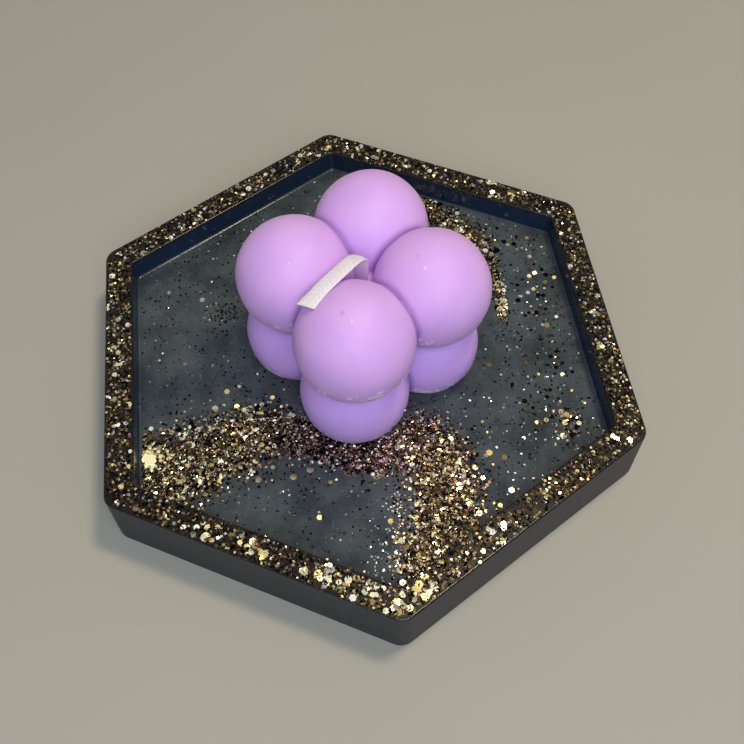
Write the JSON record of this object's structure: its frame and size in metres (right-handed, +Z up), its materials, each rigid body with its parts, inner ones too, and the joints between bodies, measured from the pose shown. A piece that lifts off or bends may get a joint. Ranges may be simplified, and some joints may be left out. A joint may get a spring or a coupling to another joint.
{
  "type": "candle tray",
  "caption": "Hexagonal smoked-resin tray with a raised glitter rim and flakes in its floor, holding a lilac bubble candle with a cotton wick that lifts straight out.",
  "frame": {"origin": "centre of the tray's underside, on the surface that it stands on", "axes": "+Z up out of the recess; +Y through a corner of the hexagon; X across two flats"},
  "size_m": [0.0952, 0.109, 0.0412],
  "materials": {
    "smoked_resin": "glossy smoke-blue casting resin with fine specks, satin on the outer sides",
    "rim_glitter": "clear resin packed with gold, bronze and black glitter",
    "gold_flakes": "metallised film flakes, bright gold",
    "lilac_wax": "smooth satin wax",
    "cotton_wick": "waxed flat cotton braid"
  },
  "bodies": {
    "tray": {"tray_body": "smoked_resin", "rim_glitter_layer": "rim_glitter", "floor_flakes": "gold_flakes"},
    "candle": {"candle_wax": "lilac_wax", "wick": "cotton_wick"}
  },
  "joints": [
    {"name": "candle_lift", "type": "slide", "parent": "tray", "child": "candle", "axis": [0, 0, 1], "range_m": [0, 0.06]}
  ]
}
